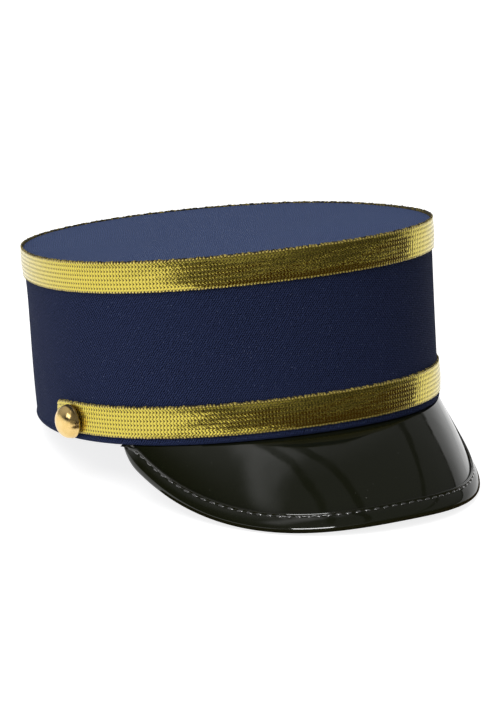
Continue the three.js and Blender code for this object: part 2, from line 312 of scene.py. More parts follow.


# %% [markdown]
# The navy cloth is a twill: fine ridges that climb to the right, because each thread passes
# over two others and steps one to the side. The ridges are a stripe across a turned map,
# broken by a second stripe along it, and a little uneven. A few pale fibres show in it, and
# fuzz gives the flat top a soft sheen. The top's copy is also painted lighter and bluer than
# the wall's: painted light, as the top faces the lamps.


# %% Navy twill
def navy_twill(name, colour, groove_share, speck_share, sheen):
    recipe = Recipe(name)
    place, across, height = recipe.flat_map("cloth")
    wobble = recipe.noise(place, 0.55, 3.0)
    climb = math.radians(54)
    along = recipe.plus(
        recipe.times(across, math.cos(climb)),
        recipe.times(height, math.sin(climb)),
    )
    beside = recipe.calc(
        "SUBTRACT",
        recipe.times(height, math.cos(climb)),
        recipe.times(across, math.sin(climb)),
    )
    ridge_pitch = 0.86
    thread_pitch = 0.9
    ridge_place = recipe.plus(
        recipe.calc("DIVIDE", beside, ridge_pitch), recipe.times(wobble, 1.3)
    )
    ridge = recipe.between(recipe.calc("PINGPONG", ridge_place, 0.5), 0.08, 0.42)
    thread_place = recipe.plus(
        recipe.calc("DIVIDE", along, thread_pitch), recipe.times(ridge_place, 0.5)
    )
    thread = recipe.between(recipe.calc("PINGPONG", thread_place, 0.5), 0.0, 0.35)
    grain = recipe.noise(place, 1.25, 2.0, 0.7)
    body = recipe.plus(ridge, recipe.times(thread, 0.45))
    shade = recipe.plus(body, recipe.times(grain, 1.5))
    shade = recipe.between(shade, 0.75, 2.25)
    groove = tuple(groove_share * c for c in colour)
    tone = recipe.mix_colours(shade, groove, colour)
    cloud = recipe.noise(place, 0.03, 3.0)
    tone = recipe.mix_colours(
        recipe.between(cloud, 0.35, 0.75, 0.0, 0.25), tone, tuple(0.6 * c for c in colour)
    )
    fibre = recipe.noise(place, 1.5, 1.0, 0.4)
    specks = recipe.between(fibre, 0.67, 0.80, 0.0, speck_share)
    tone = recipe.mix_colours(specks, tone, (0.20, 0.23, 0.36))
    recipe.set_skin(
        Base_Color=tone,
        Roughness=recipe.between(shade, 0.0, 1.0, 0.95, 0.78),
        Sheen_Weight=sheen,
        Sheen_Roughness=0.4,
        Sheen_Tint=(0.45, 0.6, 1.0),
        Specular_IOR_Level=0.05,
    )
    recipe.relief(recipe.plus(body, recipe.times(grain, 0.5)), 0.16, 0.8)
    return recipe.finish


wall_cloth = navy_twill("navy_twill", (0.0265, 0.0375, 0.098), 0.06, 0.40, 0.0)
# The top is the same twill with a lighter, bluer colour: painted light, as the top faces the lamps.
painted_lighter_top = navy_twill("navy_twill_top", (0.038, 0.059, 0.148), 0.34, 0.30, 0.22)
print("made:", wall_cloth.name, painted_lighter_top.name)

# %% [markdown]
# The braid is knitted from flat gold foil thread. Seen close it is seven rows of chevrons:
# each strand leans back to the middle of its row and forward again, and a pinhole shows
# where two rows meet. Foil is a mirror, so the braid is bright where it shows the white
# floor and dark where it shows the dark of the room. The strands are too fine for a mesh
# and would shimmer, so the finish draws them and gives them their relief.

# %% Gold braid
strand_pitch = 1.5
strand_lean = 0.5


def gold_braid():
    recipe = Recipe("gold_braid")
    place, across, row = recipe.flat_map("weave")
    row_gap = recipe.calc("PINGPONG", row, 0.5)
    lean = recipe.times(row_gap, 2 * strand_lean)
    ragged = recipe.noise(place, 0.42, 2.0)
    strand_place = recipe.plus(recipe.calc("DIVIDE", across, strand_pitch), lean)
    strand_place = recipe.plus(strand_place, recipe.times(ragged, 0.16))
    strand_gap = recipe.calc("PINGPONG", strand_place, 0.5)
    strand = recipe.round_top(strand_gap, 4.0)
    rib = recipe.round_top(row_gap, 3.0)
    pinhole = recipe.times(
        recipe.between(strand_gap, 0.32, 0.12), recipe.between(row_gap, 0.34, 0.12)
    )
    fine = recipe.noise(place, 4.0, 2.0, 0.7)
    dark = recipe.times(recipe.between(strand_gap, 0.08, 0.0), 0.40)
    dark = recipe.calc("MAXIMUM", dark, recipe.times(recipe.between(row_gap, 0.07, 0.0), 0.14))
    dark = recipe.calc("MAXIMUM", dark, recipe.times(pinhole, 0.95))
    colour = recipe.mix_colours(
        recipe.between(fine, 0.3, 0.7), (0.70, 0.59, 0.112), (0.56, 0.45, 0.070)
    )
    # The beaded edges are painted paler and less metallic: a painted highlight where the beads catch the
    # light.
    edge = recipe.calc("MINIMUM", row, recipe.calc("SUBTRACT", ribs, row))
    selvage = recipe.between(edge, 0.36, 0.24)
    colour = recipe.mix_colours(selvage, colour, (0.95, 0.77, 0.19))
    bead_place = recipe.calc("DIVIDE", across, strand_pitch)
    bead_gap = recipe.calc("PINGPONG", bead_place, 0.5)
    bead_gap = recipe.times(
        recipe.between(bead_gap, 0.30, 0.12), recipe.between(edge, 0.46, 0.30)
    )
    dark = recipe.calc("MAXIMUM", dark, recipe.times(bead_gap, 0.95))
    colour = recipe.mix_colours(dark, colour, (0.050, 0.026, 0.003))
    recipe.set_skin(
        Base_Color=colour,
        Metallic=recipe.between(recipe.calc("MAXIMUM", dark, selvage), 0.3, 0.9, 1.0, 0.4),
        Roughness=recipe.between(dark, 0.0, 0.8, 0.11, 0.5),
    )
    relief = recipe.plus(strand, recipe.times(rib, 0.09))
    relief = recipe.plus(relief, recipe.times(fine, 0.06))
    slack = recipe.noise(place, 0.9, 1.0)
    relief = recipe.plus(relief, recipe.times(slack, 1.6))
    recipe.relief(relief, 0.075, 1.0)
    return recipe.finish


# %% The braid's back and edge faces, with painted shade
def braid_backing():
    recipe = Recipe("braid_backing")
    place = recipe.flat_map("weave")[0]
    knots_and_painted_glints = recipe.noise(place, 1.1, 3.0, 0.7)
    # The back and edge faces are painted nearly black: painted shade along the braid's edges. The gold
    # knots in it are painted glints.
    recipe.set_skin(
        Base_Color=recipe.mix_colours(
            recipe.between(knots_and_painted_glints, 0.46, 0.64), (0.014, 0.012, 0.009), (0.36, 0.28, 0.06)
        ),
        Roughness=0.8,
    )
    recipe.relief(knots_and_painted_glints, 0.15, 0.8)
    return recipe.finish


braid_finish = gold_braid()
edge_shade_finish = braid_backing()
print("made:", braid_finish.name, edge_shade_finish.name)

# %% [markdown]
# The buttons are stamped brass with a pale gold plating, polished but handled: the gloss
# changes a little from place to place. The peak is patent sheet: black, very smooth, with
# the slow waves that a rolled plastic skin keeps, a few scuffs and some dust.


# %% Plated brass
def plated_brass():
    recipe = Recipe("plated_brass")
    place = recipe.add("ShaderNodeTexCoord").outputs["Object"]
    patches = recipe.noise(place, 260.0, 4.0)
    scratches = recipe.noise(place, 2600.0, 2.0)
    colour = recipe.mix_colours(
        recipe.between(patches, 0.3, 0.7), (0.82, 0.60, 0.26), (0.75, 0.52, 0.19)
    )
    recipe.set_skin(
        Base_Color=colour, Metallic=1.0, Roughness=recipe.between(patches, 0.3, 0.7, 0.17, 0.27)
    )
    recipe.relief(scratches, 0.02, 0.35)
    return recipe.finish


# %% Patent black
def patent_black(name, waves_depth):
    recipe = Recipe(name)
    place = recipe.add("ShaderNodeTexCoord").outputs["Object"]
    waves = recipe.noise(place, 38.0, 2.0, 0.45)
    orange_peel = recipe.noise(place, 420.0, 2.0)
    scuffs = recipe.noise(place, 95.0, 5.0, 0.65)
    dust = recipe.noise(place, 900.0, 1.0)
    specks = recipe.between(dust, 0.80, 0.84, 0.0, 0.5)
    colour = recipe.mix_colours(specks, (0.0045, 0.0051, 0.0020), (0.16, 0.16, 0.15))
    recipe.set_skin(
        Base_Color=colour,
        Roughness=recipe.between(scuffs, 0.35, 0.75, 0.045, 0.13),
        Coat_Weight=0.25,
        Coat_Roughness=0.05,
    )
    height = recipe.plus(waves, recipe.times(orange_peel, 0.02))
    recipe.relief(height, waves_depth, 0.6)
    return recipe.finish


# %% Black thread
def black_thread():
    recipe = Recipe("black_thread")
    place = recipe.add("ShaderNodeTexCoord").outputs["Object"]
    twist = recipe.noise(place, 1900.0, 2.0)
    recipe.set_skin(
        Base_Color=recipe.mix_colours(twist, (0.012, 0.012, 0.011), (0.045, 0.045, 0.042)),
        Roughness=0.2,
        Specular_IOR_Level=1.0,
        Coat_Weight=1.0,
        Coat_Roughness=0.12,
    )
    recipe.relief(twist, 0.05, 0.5)
    return recipe.finish


brass_finish = plated_brass()
peak_finish = patent_black("patent_black", 0.5)
binding_finish = patent_black("patent_binding", 0.25)
thread_finish = black_thread()

# %% [markdown]
# The crown's wall is one strip of felt-backed cloth sewn into a drum. It could be a tube
# with a Solidify modifier, but its lower edge is turned up into a soft rolled hem, so it is
# drawn as a real section: a ring is extruded step by step down the inside, round the hem
# and up the outside, and the last ring is bridged to the first.


# %% Rings and sections
def ring(name, segments, radius, level):
    nothing_selected()
    bpy.ops.mesh.primitive_circle_add(
        vertices=segments, radius=radius, fill_type="NOTHING", location=(0, 0, level)
    )
    bpy.ops.object.transform_apply(location=True, rotation=False, scale=False)
    return named(name)


def extrude_section(piece, section):
    """Extrudes the piece's ring along the section's (out, level) points."""
    mesh = edit(piece)
    pick(piece, mesh, "EDGE", lambda edge: True)
    for out, level in section:
        bpy.ops.mesh.extrude_edges_move()
        mesh = bmesh.from_edit_mesh(piece.data)
        for vert in mesh.verts:
            if vert.select:
                flat = vert.co.xy.normalized() * (crown_radius + out)
                vert.co = (flat.x, flat.y, level)
        bmesh.update_edit_mesh(piece.data)


def close_section(piece):
    """Bridges the two open rings and turns all faces outwards."""
    mesh = bmesh.from_edit_mesh(piece.data)
    pick(piece, mesh, "EDGE", lambda edge: edge.is_boundary)
    bpy.ops.mesh.bridge_edge_loops()
    turn_faces_outwards()


# %% Crown wall
crown_segments = 288
wall_top = crown_height - 3.1 * MM
hem_middle = (hem_bulge - wall_thickness) / 2
hem_half = (hem_bulge + wall_thickness) / 2
wall = ring("crown_wall_cloth", crown_segments, crown_radius - wall_thickness, wall_top)
section = [(-wall_thickness, level * MM) for level in (60, 40, 20, 8, 2.6)]
for k in range(1, 9):
    turn = math.pi * (1 + k / 8)
    section.append(
        (
            hem_middle + hem_half * math.cos(turn),
            hem_height / 2 * (1 + math.sin(turn)),
        )
    )
section += [(0.32 * MM, 2.1 * MM), (0.05 * MM, 2.75 * MM), (0, 3.3 * MM)]
section += [(0, level * MM) for level in (5, 10, 15, 20, 26, 32, 38, 44, 50, 56, 62, 68, 74)]
section += [(0, wall_top)]
extrude_section(wall, section)
close_section(wall)
angle, out, level = round_places(get_points(wall))
map_round_piece(wall, "cloth", angle, level / MM + out / MM)
soft = 0.16 * np.sin(3 * angle + 70 * level) + 0.10 * np.sin(11 * angle - 55 * level)
soft += 0.05 * np.sin(29 * angle + 90 * level)
fade = np.clip(level / (12 * MM), 0, 1) * np.clip((crown_height - 14 * MM - level) / (8 * MM), 0, 1)
out = out + soft * MM * fade
set_points(wall, stand(crown_points(angle, out, level)))
smooth(wall, 60)
finish_piece(wall, ["crown_wall"], wall_cloth)

# %% [markdown]
# The top is a stiffened disc whose edge is turned down inside the wall. A ring is extruded
# round the turned edge and then in over the top in small steps, so that the top has points
# to sag with: the cloth dips a little towards its centre, and puckers where the seam pulls
# it. The two rings left open are filled.

# %% Crown top
top_face = crown_height - 1 * MM
top_thickness = 1.8 * MM
underside = top_face - top_thickness
inside = -wall_thickness - clearance
top = ring("crown_top_cloth", crown_segments, crown_radius + inside - 1.2 * MM, underside)
rim_section = [
    (inside - 1.2 * MM, underside - 6 * MM),
    (inside, underside - 6 * MM),
    (inside, underside),
    (0, underside),
    (0, top_face - 0.5 * MM),
    (-0.15 * MM, top_face - 0.15 * MM),
    (-0.5 * MM, top_face),
    (-1.5 * MM, top_face),
    (-3 * MM, top_face),
    (-5 * MM, top_face),
]
rim_section += [(-step * MM, top_face) for step in (8, 12, 17, 23, 30, 38, 47, 57, 67, 77, 86, 91)]
extrude_section(top, rim_section)
mesh = bmesh.from_edit_mesh(top.data)
for level_wanted in (top_face, underside):
    pick(
        top,
        mesh,
        "EDGE",
        lambda edge: edge.is_boundary and abs(edge.verts[0].co.z - level_wanted) < 1e-5,
    )
    bpy.ops.mesh.edge_face_add()
    mesh = bmesh.from_edit_mesh(top.data)
turn_faces_outwards()
flat = top.data.uv_layers.new(name="cloth")
for loop in top.data.loops:
    co = top.data.vertices[loop.vertex_index].co
    flat.data[loop.index].uv = (co.x / MM, co.y / MM)
angle, out, level = round_places(get_points(top))
inward = np.clip(-out / crown_radius, 0, 1)
on_top = level > top_face - 0.1 * MM
sag = -0.45 * np.sin(math.pi * np.clip(inward, 0, 1) / 2) ** 2
sag = sag + 0.10 * np.sin(2 * angle + 0.6) * np.sin(math.pi * np.clip(inward, 0, 1)) ** 2
pucker = 0.07 * np.sin(41 * angle) * np.exp(-(((inward - 0.03) / 0.03) ** 2))
level = level + np.where(on_top, (sag + pucker) * MM, 0)
well_inside = np.clip((-out - 8 * MM) / (20 * MM), 0, 1)
out = out * (1 + (plan_share(angle) - 1) * well_inside)
set_points(top, stand(crown_points(angle, out, level)))
smooth(top, 40)
# The top takes the lighter copy of the twill, which paints the light that falls on it.
finish_piece(top, ["crown_top"], painted_lighter_top)

# %% [markdown]
# The braids. A flat strip would look painted as soon as light runs along it. So the strip
# is barrel-shaped, with seven low ribs, thick beaded edges and a rounded cut end, and only
# its strands are left to the finish. A tube of many narrow columns is subdivided across
# into rows, its two edges are extruded back to the wall and bridged, and then every point
# of the face is lifted by rule. The second braid is the same strip, cut off behind the
# buttons.


# %% The braid's ribs
def rib_relief(row):
    """Height in mm of the seven ribs at a row (0 to 7)."""
    row_gap = np.abs((row + 0.5) % 1 - 0.5)
    return 0.012 * np.clip(row_gap / 0.2, 0, 1)


# %% A plain strip of braid
def braid_strip(name, low, width, columns, rows, reach=None):
    nothing_selected()
    face = crown_radius + clearance + braid_thickness
    bpy.ops.mesh.primitive_cylinder_add(
        vertices=columns,
        radius=face,
        depth=width,
        end_fill_type="NOTHING",
        location=(0, 0, low + width / 2),
    )
    bpy.ops.object.transform_apply(location=True, rotation=False, scale=False)
    strip = named(name)
    mesh = edit(strip)
    if reach is not None:
        pick(
            strip,
            mesh,
            "VERT",
            lambda vert: abs(math.atan2(vert.co.x, -vert.co.y)) > reach,
        )
        bpy.ops.mesh.delete(type="VERT")
        mesh = bmesh.from_edit_mesh(strip.data)
    pick(strip, mesh, "EDGE", lambda edge: abs(edge.verts[0].co.z - edge.verts[1].co.z) > width / 2)
    bpy.ops.mesh.subdivide(number_cuts=rows - 1)
    back = crown_radius + clearance
    for edge_level in (low, low + width):
        mesh = bmesh.from_edit_mesh(strip.data)
        pick(
            strip,
            mesh,
            "EDGE",
            lambda edge: edge.is_boundary
            and all(abs(vert.co.z - edge_level) < 1e-6 for vert in edge.verts),
        )
        bpy.ops.mesh.extrude_edges_move()
        mesh = bmesh.from_edit_mesh(strip.data)
        for vert in mesh.verts:
            if vert.select:
                flat_place = vert.co.xy.normalized() * back
                vert.co = (flat_place.x, flat_place.y, edge_level)
        bmesh.update_edit_mesh(strip.data)
    mesh = bmesh.from_edit_mesh(strip.data)
    pick(
        strip,
        mesh,
        "EDGE",
        lambda edge: edge.is_boundary and all(vert.co.xy.length < back + 1e-5 for vert in edge.verts),
    )
    bpy.ops.mesh.bridge_edge_loops()
    if reach is not None:
        mesh = bmesh.from_edit_mesh(strip.data)
        pick(strip, mesh, "EDGE", lambda edge: edge.is_boundary)
        bpy.ops.mesh.edge_face_add()
    turn_faces_outwards()
    return strip


# %% The braid's relief and edges
def weave(strip, low, width, reach=None):
    points = get_points(strip)
    angle, out, level = round_places(points)
    row = (level - low) / width * ribs
    level = level + (1 - row / ribs) * 0.5 * MM
    across = angle * crown_radius / MM
    map_round_piece(strip, "weave", angle, row)
    on_face = out > clearance + 0.9 * braid_thickness
    edge = np.minimum(row, ribs - row)
    lift = rib_relief(np.clip(row, 0.02, ribs - 0.02))
    bead = 0.5 + 0.5 * np.cos(2 * math.pi * across / strand_pitch)
    selvage = np.clip(1 - edge / 0.4, 0, 1)
    lift = lift * (1 - selvage) + selvage * (0.06 + 0.16 * (1 - bead))
    barrel = 0.42 * (1 - np.clip(np.abs(row / ribs * 2 - 1), 0, 1) ** 4)
    slow = 0.05 * np.sin(across * 0.071 + row * 0.9) + 0.03 * np.sin(across * 0.19 - row * 1.7)
    lift = lift + barrel + slow
    drift = np.sin(across * 0.9) * np.sin(across * 0.23 + 1.0) + 0.6 * np.sin(across * 2.3)
    ragged = (0.12 * (1 - bead) + 0.16 * drift) * np.clip(1 - edge / 1.2, 0, 1)
    level = level + np.where(row > ribs / 2, 1, -0.5) * ragged * MM
    if reach is not None:
        from_end = reach * crown_radius / MM - np.abs(across)
        cut = 2.2 - np.sqrt(2.2**2 - np.clip(2.2 - from_end, 0, 2.2) ** 2)
        middle_level = low + width / 2
        level = middle_level + (level - middle_level) * (1 - cut * MM / (width / 2))
        level = level - 0.9 * MM * np.exp(-from_end / 5) * (row > ribs / 2) * row / ribs
    seen_side = np.clip(np.cos(angle + 0.6) / 0.6 + 0.5, 0, 1)
    level = level + np.where(on_face, 0, np.where(row > ribs / 2, 0.5 * seen_side, -0.3)) * MM
    far_side = np.clip(-np.cos(angle + 0.6) / 0.6, 0, 1)
    level = level - 0.4 * far_side * np.clip(row - ribs + 1, 0, 1) * MM
    out = out + np.where(on_face, lift, 0) * MM
    strip.data.materials.append(braid_finish)
    strip.data.materials.append(edge_shade_finish)
    face_points = np.array([all(on_face[v] for v in face.vertices) for face in strip.data.polygons])
    set_points(strip, stand(crown_points(angle, out, level)))
    smooth(strip, 75)
    # Faces off the woven face take the dark finish, which paints the shade along the edges.
    strip.data.polygons.foreach_set("material_index", np.where(face_points, 0, 1).astype(np.int32))


# %% Top braid and front braid
braid_columns = 1960
braid_rows = 5 * ribs
top_width = 13.8 * MM
top_low = crown_height - top_width
top_braid = braid_strip("top_braid_woven", top_low, top_width, braid_columns, braid_rows)
weave(top_braid, top_low, top_width)
finish_piece(top_braid, ["top_braid"])

front_low = 3 * MM
front_width = 14 * MM
front_reach = math.radians(90.3)
front_braid = braid_strip(
    "front_braid_woven", front_low, front_width, braid_columns, braid_rows, front_reach
)
weave(front_braid, front_low, front_width, front_reach)
finish_piece(front_braid, ["front_braid"])

# %% [markdown]
# A cap button is a stamped dome pressed over a flat back. Its half outline is drawn once
# and spun round its axis, which is how a turned or stamped part is always drawn. The spin
# is closed at its pole, and the finished button is laid on the wall at its place.


# %% Buttons
def crown_frame(turn_angle, height_level):
    here = crown_points(np.array([turn_angle]), 0.0, np.array([height_level]))[0]
    ahead = crown_points(np.array([turn_angle + 0.01]), 0.0, np.array([height_level]))[0]
    above = crown_points(np.array([turn_angle]), 0.0, np.array([height_level + MM]))[0]
    normal = np.cross(ahead - here, above - here)
    normal /= np.linalg.norm(normal)
    return stand(here), hat_turn @ normal


def domed_button(name, side):
    nothing_selected()
    bpy.ops.mesh.primitive_circle_add(vertices=4, radius=0.001, location=(0, 0, 0))
    button = named(name)
    mesh = edit(button)
    pick(button, mesh, "VERT", lambda vert: True)
    bpy.ops.mesh.delete(type="VERT")
    mesh = bmesh.from_edit_mesh(button.data)
    base = clearance + braid_thickness + rib_height + 0.4 * MM
    post_in = inside
    outline = [(0, post_in - 0.9 * MM), (2.7 * MM, post_in - 0.9 * MM), (3.0 * MM, post_in - 0.6 * MM)]
    outline += [(3.0 * MM, post_in - 0.15 * MM), (2.7 * MM, post_in), (1.2 * MM, post_in), (1.2 * MM, base)]
    outline += [(5.5 * MM, base), (6.9 * MM, base + 0.05 * MM), (7.45 * MM, base + 0.28 * MM)]
    outline += [(7.72 * MM, base + 0.7 * MM), (7.72 * MM, base + 1.1 * MM), (7.55 * MM, base + 1.42 * MM)]
    for k in range(1, 16):
        turn = math.pi / 2 * k / 16
        outline.append((7.5 * MM * math.cos(turn) ** 0.96, base + 1.5 * MM + 5.4 * MM * math.sin(turn)))
    outline.append((0, base + 6.9 * MM))
    verts = [mesh.verts.new((across, 0, along)) for across, along in outline]
    for start, end in zip(verts, verts[1:]):
        mesh.edges.new((start, end))
    bmesh.update_edit_mesh(button.data)
    bpy.ops.mesh.select_all(action="SELECT")
    bpy.ops.mesh.spin(
        steps=64, angle=2 * math.pi, center=(0, 0, 0), axis=(0, 0, 1), use_auto_merge=True
    )
    bpy.ops.mesh.select_all(action="SELECT")
    bpy.ops.mesh.remove_doubles(threshold=1e-6)
    turn_faces_outwards()
    place, normal = crown_frame(side * button_angle, button_level)
    turn = Vector((0, 0, 1)).rotation_difference(Vector(normal)).to_matrix().to_4x4()
    button.data.transform(Matrix.Translation(place) @ turn)
    smooth(button, 35)
    return button


for name, side, node in (
    ("brass_button_right", -1, "button_right"),
    ("brass_button_left", 1, "button_left"),
):
    button = domed_button(name, side)
    finish_piece(button, [node], brass_finish)

# %% [markdown]
# The peak is one stiff patent sheet. It slopes down from the rim, steeper towards its two
# ends, and bends a little more on its way to the edge, so no simple surface gives it. A
# grid is laid out flat, one side for the rim and the other for the edge, and each of its
# points is carried to the curved surface. Solidify then gives it thickness.

# %% The peak's sizes
peak_reach = math.radians(64.6)
peak_reach_left = math.radians(62.0)
slope_reach = math.radians(63.0)
peak_depth = 48.8 * MM
peak_end_depth = 0.6 * MM
peak_thickness = 1.6 * MM
peak_slope = 44
peak_side_slope = 30
peak_bend = 30
peak_fan = 0.3
outline_power = 2.8
outline_power_left = 3.1
flange_height = 9 * MM


# %% The peak's surface
def peak_length(angle):
    reach = np.where(angle > 0, peak_reach_left, peak_reach)
    power = np.where(angle > 0, outline_power_left, outline_power)
    share = np.minimum(1, np.abs(angle) / reach)
    return peak_end_depth + (peak_depth - peak_end_depth) * (1 - share**power)


def peak_points(angle, way):
    """Points of the peak's upper face; past the edge they go straight on."""
    length = peak_length(angle)
    share = angle / slope_reach
    reach = np.where(angle > 0, peak_reach_left, peak_reach)
    tuck = np.clip(1 - (reach - np.abs(angle)) / math.radians(4.5), 0, 1) ** 2
    point = crown_points(angle, -4 * MM * tuck, -clearance + 1.5 * MM * tuck)
    fan = peak_fan * angle - np.where(angle > 0, 0.15 * angle**2, 0)
    heading = np.stack([np.sin(fan), -np.cos(fan), 0 * angle], axis=-1)
    slope = peak_slope + peak_side_slope * share**2
    bend = peak_bend * length / peak_depth
    parts = 12
    on_surface = np.minimum(way, length)
    for k in range(parts):
        down = np.radians(slope + bend * ((on_surface / length) * ((k + 0.5) / parts) - 0.5))
        point = point + heading * (on_surface / parts * np.cos(down))[:, None]
        point[:, 2] -= on_surface / parts * np.sin(down)
    past = np.maximum(0, way - length)
    down = np.radians(slope + bend / 2)
    point = point + heading * (past * np.cos(down))[:, None]
    point[:, 2] -= past * np.sin(down)
    return point


def spread_angles(share):
    """Angles round the rim for shares from -1 to 1, closer together near the two ends."""
    angle = np.where(share > 0, peak_reach_left, peak_reach) * np.sign(share)
    return angle * (1 - (1 - np.abs(share)) ** 1.2)


def peak_normals(angle, way):
    small = 1e-4
    round_way = peak_points(angle + small, way) - peak_points(angle - small, way)
    along = peak_points(angle, way + 1e-5) - peak_points(angle, np.maximum(0, way - 1e-5))
    normal = np.cross(along, round_way)
    return normal / np.linalg.norm(normal, axis=1)[:, None]


# %% Peak
peak_rows = 44
nothing_selected()
bpy.ops.mesh.primitive_grid_add(x_subdivisions=200, y_subdivisions=peak_rows, size=2)
peak = named("peak_patent")
points = get_points(peak)
angle = spread_angles(points[:, 0])
row = np.rint((points[:, 1] + 1) / 2 * peak_rows)
flange_rows = 6
way = np.clip((row - flange_rows) / (peak_rows - flange_rows), 0, 1) * peak_length(angle)
placed = peak_points(angle, way)
flange_levels = np.array([flange_height, 6 * MM, 3 * MM, 0.6 * MM, -clearance, -clearance])
flange_outs = np.array([inside, inside, inside, inside, inside + 0.3 * MM, -1.0 * MM])
for k in range(flange_rows):
    chosen = row == k
    placed[chosen] = crown_points(
        angle[chosen], np.full(chosen.sum(), flange_outs[k]), np.full(chosen.sum(), flange_levels[k])
    )
set_points(peak, stand(placed))
edit(peak)
turn_faces_outwards()
middle_face = min(peak.data.polygons, key=lambda face: (face.center.x**2 + (face.center.y + 0.11) ** 2))
if middle_face.normal.z < 0:
    edit(peak)
    bpy.ops.mesh.select_all(action="SELECT")
    bpy.ops.mesh.flip_normals()
    bpy.ops.object.mode_set(mode="OBJECT")
add_modifier(peak, "SOLIDIFY", thickness=peak_thickness, offset=-1.0)
smooth(peak, 50)
finish_piece(peak, ["peak"], peak_finish)

# %% [markdown]
# The binding is a strip of the same sheet, folded round the peak's edge and sewn through.
# It is modelled as a straight tube and then laid round the edge. Its section has the fat
# roll outside, a slope down to the valley where the needle went, and the thin raised fold
# inside. The thread pulls the valley down under the stitches. Subdivide makes 100 cuts at
# most, so the tube has 101 stations, 2.8 mm apart, and only some of these dips show.

# %% The binding's section
binding_width = 6.5 * MM
binding_under_width = 5.5 * MM
binding_roll = 1.9 * MM
binding_thickness = 0.9 * MM
upper_rim_gap = 0.8 * MM
stitch_pitch = 4.3 * MM
valley_across = 0.765
binding_section = [
    # across, height, under, gap
    (1.00, 0.00, 0, 0),
    (0.50, 0.00, 0, 0),
    (0.00, 0.00, 0, 1),
    (0.00, 0.00, 1, 1),
    (0.50, 0.00, 1, 0),
    (1.00, 0.00, 1, 0),
    (1.00, 0.85, 1, 0),
    (0.60, 1.00, 1, 0),
    (0.20, 1.10, 1, 0),
    (-0.10, 1.00, 1, 0),
    (-0.40, 0.78, 1, 0),
    (-0.65, 0.50, 1, 0),
    (-0.83, 0.12, 1, 0),
    (-0.94, -0.35, 1, 0),
    (-1.00, -1.05, 0, 0),
    (-1.00, -0.55, 0, 0),
    (-0.97, -0.10, 0, 0),
    (-0.89, 0.34, 0, 0),
    (-0.76, 0.74, 0, 0),
    (-0.58, 1.06, 0, 0),
    (-0.34, 1.30, 0, 0),
    (-0.08, 1.42, 0, 0),
    (0.14, 1.42, 0, 0),
    (0.33, 1.30, 0, 0),
    (0.48, 1.08, 0, 0),
    (0.59, 0.84, 0, 0),
    (0.67, 0.66, 0, 0),
    (0.72, 0.57, 0, 0),
    (0.76, 0.55, 0, 0),
    (0.80, 0.60, 0, 0),
    (0.84, 0.80, 0, 0),
    (0.88, 0.98, 0, 0),
    (0.93, 1.10, 0, 0),
    (0.97, 1.04, 0, 0),
    (1.00, 0.60, 0, 0),
]
stations = 101

# %% Directions at the peak's edge
def edge_direction(angle):
    """The unit direction along the peak's edge."""
    step = 1e-4
    ahead = peak_points(angle + step, peak_length(angle + step))
    behind = peak_points(angle - step, peak_length(angle - step))
    along = ahead - behind
    return along / np.linalg.norm(along, axis=1)[:, None]


def edge_slant(angle):
    """How squarely the lines out from the rim meet the edge: 1 is square, 0.4 the least."""
    length = peak_length(angle)
    outwards = peak_points(angle, length) - peak_points(angle, length - 1e-5)
    outwards /= np.linalg.norm(outwards, axis=1)[:, None]
    crossing = np.cross(edge_direction(angle), outwards)
    return np.maximum(0.4, np.linalg.norm(crossing, axis=1))


def fold_reach(angle, width, rim_gap):
    """How far in from the edge the fold reaches; it is shorter where the peak is short."""
    return np.maximum(0.25 * MM, np.minimum(width / edge_slant(angle), peak_length(angle) - rim_gap))


# %% A straight tube for the binding
nothing_selected()
bpy.ops.mesh.primitive_cylinder_add(
    vertices=len(binding_section), radius=1, depth=2, end_fill_type="NGON"
)
binding = named("peak_binding_rolled")
mesh = edit(binding)
pick(binding, mesh, "EDGE", lambda edge: abs(edge.verts[0].co.z - edge.verts[1].co.z) > 1)
bpy.ops.mesh.subdivide(number_cuts=stations - 1)
bpy.ops.object.mode_set(mode="OBJECT")

# %% Lay the binding round the edge
points = get_points(binding)
turn = np.arctan2(points[:, 1], points[:, 0])
count = len(binding_section)
index = np.rint(turn / (2 * math.pi) * count).astype(int) % count
angle = spread_angles(points[:, 2])
length = peak_length(angle)
fine_angle = np.linspace(-peak_reach, peak_reach_left, 2001)
fine_edge = peak_points(fine_angle, peak_length(fine_angle))
edge_way = np.concatenate([[0], np.cumsum(np.linalg.norm(np.diff(fine_edge, axis=0), axis=1))])
edge_place = np.interp(angle, fine_angle, edge_way)
slant = edge_slant(angle)
table = np.array(binding_section)[index]
under = table[:, 2] > 0
width = np.where(under, binding_under_width, binding_width)
rim_gap = np.where(under, peak_thickness + 2 * clearance, upper_rim_gap)
reach = fold_reach(angle, width, rim_gap)
across = np.where(table[:, 0] > 0, table[:, 0] * reach, table[:, 0] * binding_roll / slant)
across = np.where(table[:, 3] > 0, -clearance / slant, across)
valley = np.exp(-(((table[:, 0] - valley_across) / 0.075) ** 2)) * ~under
to_stitch = np.abs((edge_place / stitch_pitch) % 1 - 0.5) * stitch_pitch
pull = valley * (0.50 * np.exp(-((to_stitch / (0.75 * MM)) ** 2)) - 0.12)
rise = clearance + (table[:, 1] - pull) * binding_thickness
height = np.where(under, -peak_thickness - rise, rise)
way = length - across
placed = peak_points(angle, way) + peak_normals(angle, way) * height[:, None]
set_points(binding, stand(placed))
edit(binding)
turn_faces_outwards()
smooth(binding, 60)
finish_piece(binding, ["peak_binding"], binding_finish)
print("binding's length round the edge, mm:", round(edge_way[-1] / MM, 1))

# %% [markdown]
# The stitches in the valley. One stitch is a small round-ended bar with a slight arch, made
# from a sphere with few faces because there are about sixty of them. Each copy gets its
# own mesh, and all are joined into one piece at the end.

